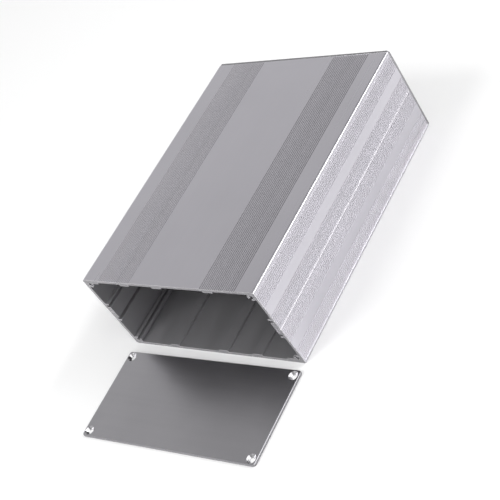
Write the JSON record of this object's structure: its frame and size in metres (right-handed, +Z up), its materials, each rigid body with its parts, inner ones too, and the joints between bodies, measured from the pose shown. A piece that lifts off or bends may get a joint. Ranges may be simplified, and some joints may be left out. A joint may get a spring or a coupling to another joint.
{
  "type": "aluminium enclosure",
  "caption": "Ribbed extruded aluminium box in halves that slide together, its rear closed by a screwed flat panel, its front open with the countersunk panel lying loose before it.",
  "frame": {"origin": "middle of the closed box's underside, on the surface it stands on", "axes": "+Y along the extrusion from the open front to the rear panel, +Z up, +X to the right seen from the front"},
  "size_m": [0.1465, 0.276, 0.068],
  "materials": {
    "anodised_shell": "satin clear anodised with a fine grain along the extrusion",
    "anodised_panel": "matte grey anodised sheet with bright machined edges",
    "plated_screw": "bright zinc plated"
  },
  "bodies": {
    "root": {"upper_shell": "anodised_shell", "lower_shell": "anodised_shell", "front_panel": "anodised_panel", "rear_panel": "anodised_panel", "rear_screw_top_left": "plated_screw", "rear_screw_top_right": "plated_screw", "rear_screw_bottom_left": "plated_screw", "rear_screw_bottom_right": "plated_screw"}
  },
  "joints": []
}
